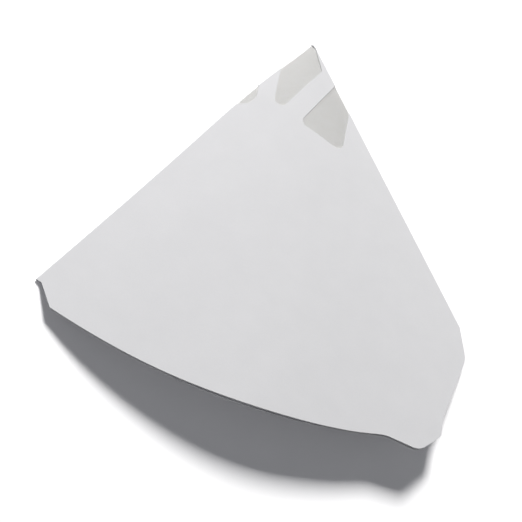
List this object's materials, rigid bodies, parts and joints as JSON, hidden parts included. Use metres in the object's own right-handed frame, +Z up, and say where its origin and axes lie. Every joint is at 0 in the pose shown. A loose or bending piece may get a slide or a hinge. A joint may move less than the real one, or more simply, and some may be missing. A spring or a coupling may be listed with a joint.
{
  "type": "paper filter funnel",
  "caption": "Disposable paper cone strainer with nylon gauze windows at the tip, folded flat, for straining paint into a can.",
  "frame": {"origin": "middle of the bounding box in plan, on the surface the folded funnel lies on", "axes": "+Z up; +Y from the mouth toward the tip; the fold is on the -X side and the glued seam on the +X side"},
  "size_m": [0.1768, 0.188, 0.0167],
  "materials": {
    "paper": "matte",
    "gauze": "fine woven nylon"
  },
  "bodies": {
    "root": {"paper_cone": "paper", "gauze_tip": "gauze"}
  },
  "joints": []
}
